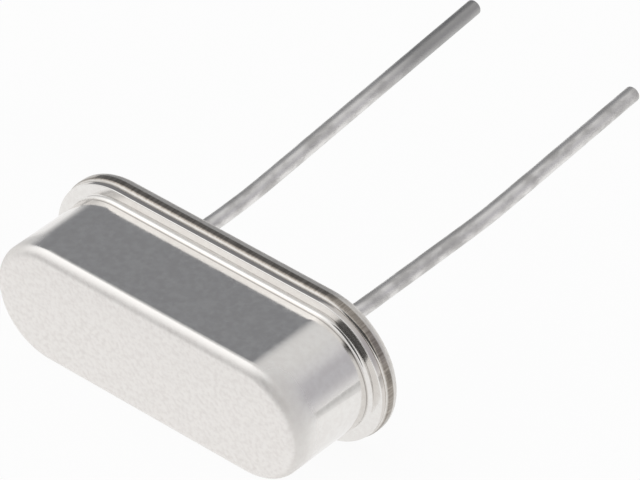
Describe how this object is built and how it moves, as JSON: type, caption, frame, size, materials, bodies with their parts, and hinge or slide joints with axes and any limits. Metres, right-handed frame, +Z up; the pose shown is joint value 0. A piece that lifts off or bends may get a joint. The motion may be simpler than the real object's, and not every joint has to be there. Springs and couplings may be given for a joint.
{
  "type": "crystal oscillator",
  "caption": "Low racetrack-shaped metal can welded on a flanged base, with wire leads: a quartz crystal that sets the clock frequency of a circuit.",
  "frame": {"origin": "centre of the bounding box on the surface that the part lies on", "axes": "+X along the case, +Y the way the leads point, +Z up; the part lies on its side, on the lower edge of its base and the round of the cover's top edge"},
  "size_m": [0.0106, 0.0162, 0.0047],
  "materials": {
    "cover_metal": "satin nickel plate on drawn sheet",
    "base_metal": "satin nickel plate on a stamped plate",
    "lead_tin": "tinned wire with fine draw lines",
    "seal_glass": "fused dark glass",
    "clip_metal": "bent spring sheet",
    "quartz": "lapped and etched quartz",
    "electrode_film": "vapour-deposited silver",
    "adhesive": "silver-filled adhesive, cured"
  },
  "bodies": {
    "root": {"cover": "cover_metal", "base": "base_metal", "glass_seal_left": "seal_glass", "glass_seal_right": "seal_glass", "lead_left": "lead_tin", "lead_right": "lead_tin", "clip_left": "clip_metal", "clip_right": "clip_metal", "quartz_blank": "quartz", "electrode_upper": "electrode_film", "electrode_lower": "electrode_film", "adhesive_left": "adhesive", "adhesive_right": "adhesive"}
  },
  "joints": []
}
